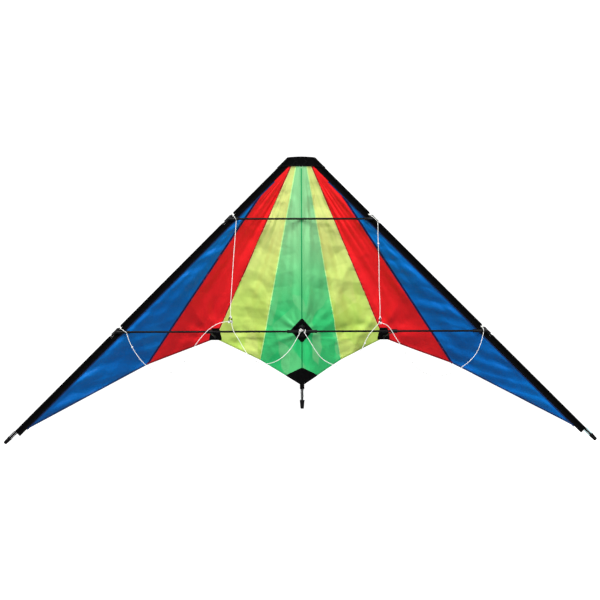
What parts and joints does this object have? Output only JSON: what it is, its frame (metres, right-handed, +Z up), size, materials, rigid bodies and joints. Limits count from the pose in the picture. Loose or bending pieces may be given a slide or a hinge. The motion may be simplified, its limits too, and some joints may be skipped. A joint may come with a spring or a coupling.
{
  "type": "delta kite",
  "caption": "Swept delta sport kite with a striped sail, black tubular frame and tape edges, folding wings, clip-on standoffs and a white cord bridle with tow rings.",
  "frame": {"origin": "top middle of the nose webbing, where the kite hangs", "axes": "+X to the right as the flyer sees the kite, +Y away from the flyer toward the sail's belly, +Z up toward the nose"},
  "size_m": [1.2, 0.116, 0.5787],
  "materials": {
    "green_cloth": "glossy ripstop polyester",
    "lime_cloth": "glossy ripstop polyester",
    "red_cloth": "glossy ripstop polyester",
    "blue_cloth": "glossy ripstop polyester",
    "black_tape": "matt woven tape",
    "black_webbing": "coarse woven webbing",
    "black_rod": "satin fibreglass",
    "black_vinyl": "satin vinyl",
    "white_cord": "braided cord",
    "grey_elastic": "covered elastic cord",
    "dark_ring": "satin",
    "ferrule_metal": "satin"
  },
  "bodies": {
    "keel": {"spine_rod": "black_rod", "spine_sleeve": "green_cloth", "nose_webbing": "black_webbing", "centre_tee_hub": "black_vinyl", "centre_patch": "black_tape", "tail_patch": "black_tape", "spine_tail_cap": "black_vinyl", "tail_tension_cord": "grey_elastic"},
    "left_wing": {"left_upper_leading_spar": "black_rod", "left_lower_leading_spar": "black_rod", "left_leading_ferrule": "ferrule_metal", "left_leading_edge_sleeve": "black_tape", "left_tip_tension_cord": "grey_elastic", "left_tip_cap": "black_vinyl", "left_upper_lashing": "white_cord", "left_lower_lashing": "white_cord", "left_upper_connector": "black_vinyl", "left_lower_connector": "black_vinyl", "left_lower_spreader": "black_rod", "left_tee_arm": "black_vinyl", "left_green_panel": "green_cloth", "left_lime_panel": "lime_cloth", "left_red_panel": "red_cloth", "left_blue_panel": "blue_cloth", "left_trailing_edge_patch": "black_tape", "left_bridle_outer_leg": "white_cord", "left_bridle_inner_leg": "white_cord", "upper_spreader": "black_rod", "upper_spreader_end": "black_vinyl"},
    "right_wing": {"right_upper_leading_spar": "black_rod", "right_lower_leading_spar": "black_rod", "right_leading_ferrule": "ferrule_metal", "right_leading_edge_sleeve": "black_tape", "right_tip_tension_cord": "grey_elastic", "right_tip_cap": "black_vinyl", "right_upper_lashing": "white_cord", "right_lower_lashing": "white_cord", "right_upper_connector": "black_vinyl", "right_lower_connector": "black_vinyl", "right_lower_spreader": "black_rod", "right_tee_arm": "black_vinyl", "right_green_panel": "green_cloth", "right_lime_panel": "lime_cloth", "right_red_panel": "red_cloth", "right_blue_panel": "blue_cloth", "right_trailing_edge_patch": "black_tape", "right_bridle_outer_leg": "white_cord", "right_bridle_inner_leg": "white_cord"},
    "left_standoff": {"left_standoff_clip": "black_vinyl", "left_standoff_rod": "black_rod", "left_standoff_tip_cap": "black_vinyl"},
    "right_standoff": {"right_standoff_clip": "black_vinyl", "right_standoff_rod": "black_rod", "right_standoff_tip_cap": "black_vinyl"},
    "left_bridle": {"left_bridle_upper_leg": "white_cord", "left_tow_ring": "dark_ring"},
    "right_bridle": {"right_bridle_upper_leg": "white_cord", "right_tow_ring": "dark_ring"}
  },
  "joints": [
    {"name": "left_wing_fold", "type": "hinge", "parent": "keel", "child": "left_wing", "pos_m": [0, 0.0028, -0.24], "axis": [0, 0, -1], "range_deg": [0, 50], "deforming": ["nose_webbing", "centre_patch", "tail_patch"]},
    {"name": "left_standoff_swivel", "type": "hinge", "parent": "left_wing", "child": "left_standoff", "pos_m": [-0.187, -0.005, -0.354], "axis": [-1, 0, 0], "range_deg": [0, 90]},
    {"name": "left_bridle_swing", "type": "hinge", "parent": "left_wing", "child": "left_bridle", "pos_m": [-0.132, -0.005, -0.1265], "axis": [-1, 0, 0], "range_deg": [0, 38], "deforming": ["left_bridle_outer_leg", "left_bridle_inner_leg"]},
    {"name": "right_wing_fold", "type": "hinge", "parent": "keel", "child": "right_wing", "pos_m": [0, 0.0028, -0.24], "axis": [0, 0, 1], "range_deg": [0, 50], "deforming": ["nose_webbing", "centre_patch", "tail_patch"]},
    {"name": "right_standoff_swivel", "type": "hinge", "parent": "right_wing", "child": "right_standoff", "pos_m": [0.187, -0.005, -0.354], "axis": [-1, 0, 0], "range_deg": [0, 90]},
    {"name": "right_bridle_swing", "type": "hinge", "parent": "right_wing", "child": "right_bridle", "pos_m": [0.1545, -0.005, -0.1335], "axis": [-1, 0, 0], "range_deg": [0, 38], "deforming": ["right_bridle_outer_leg", "right_bridle_inner_leg"]}
  ]
}
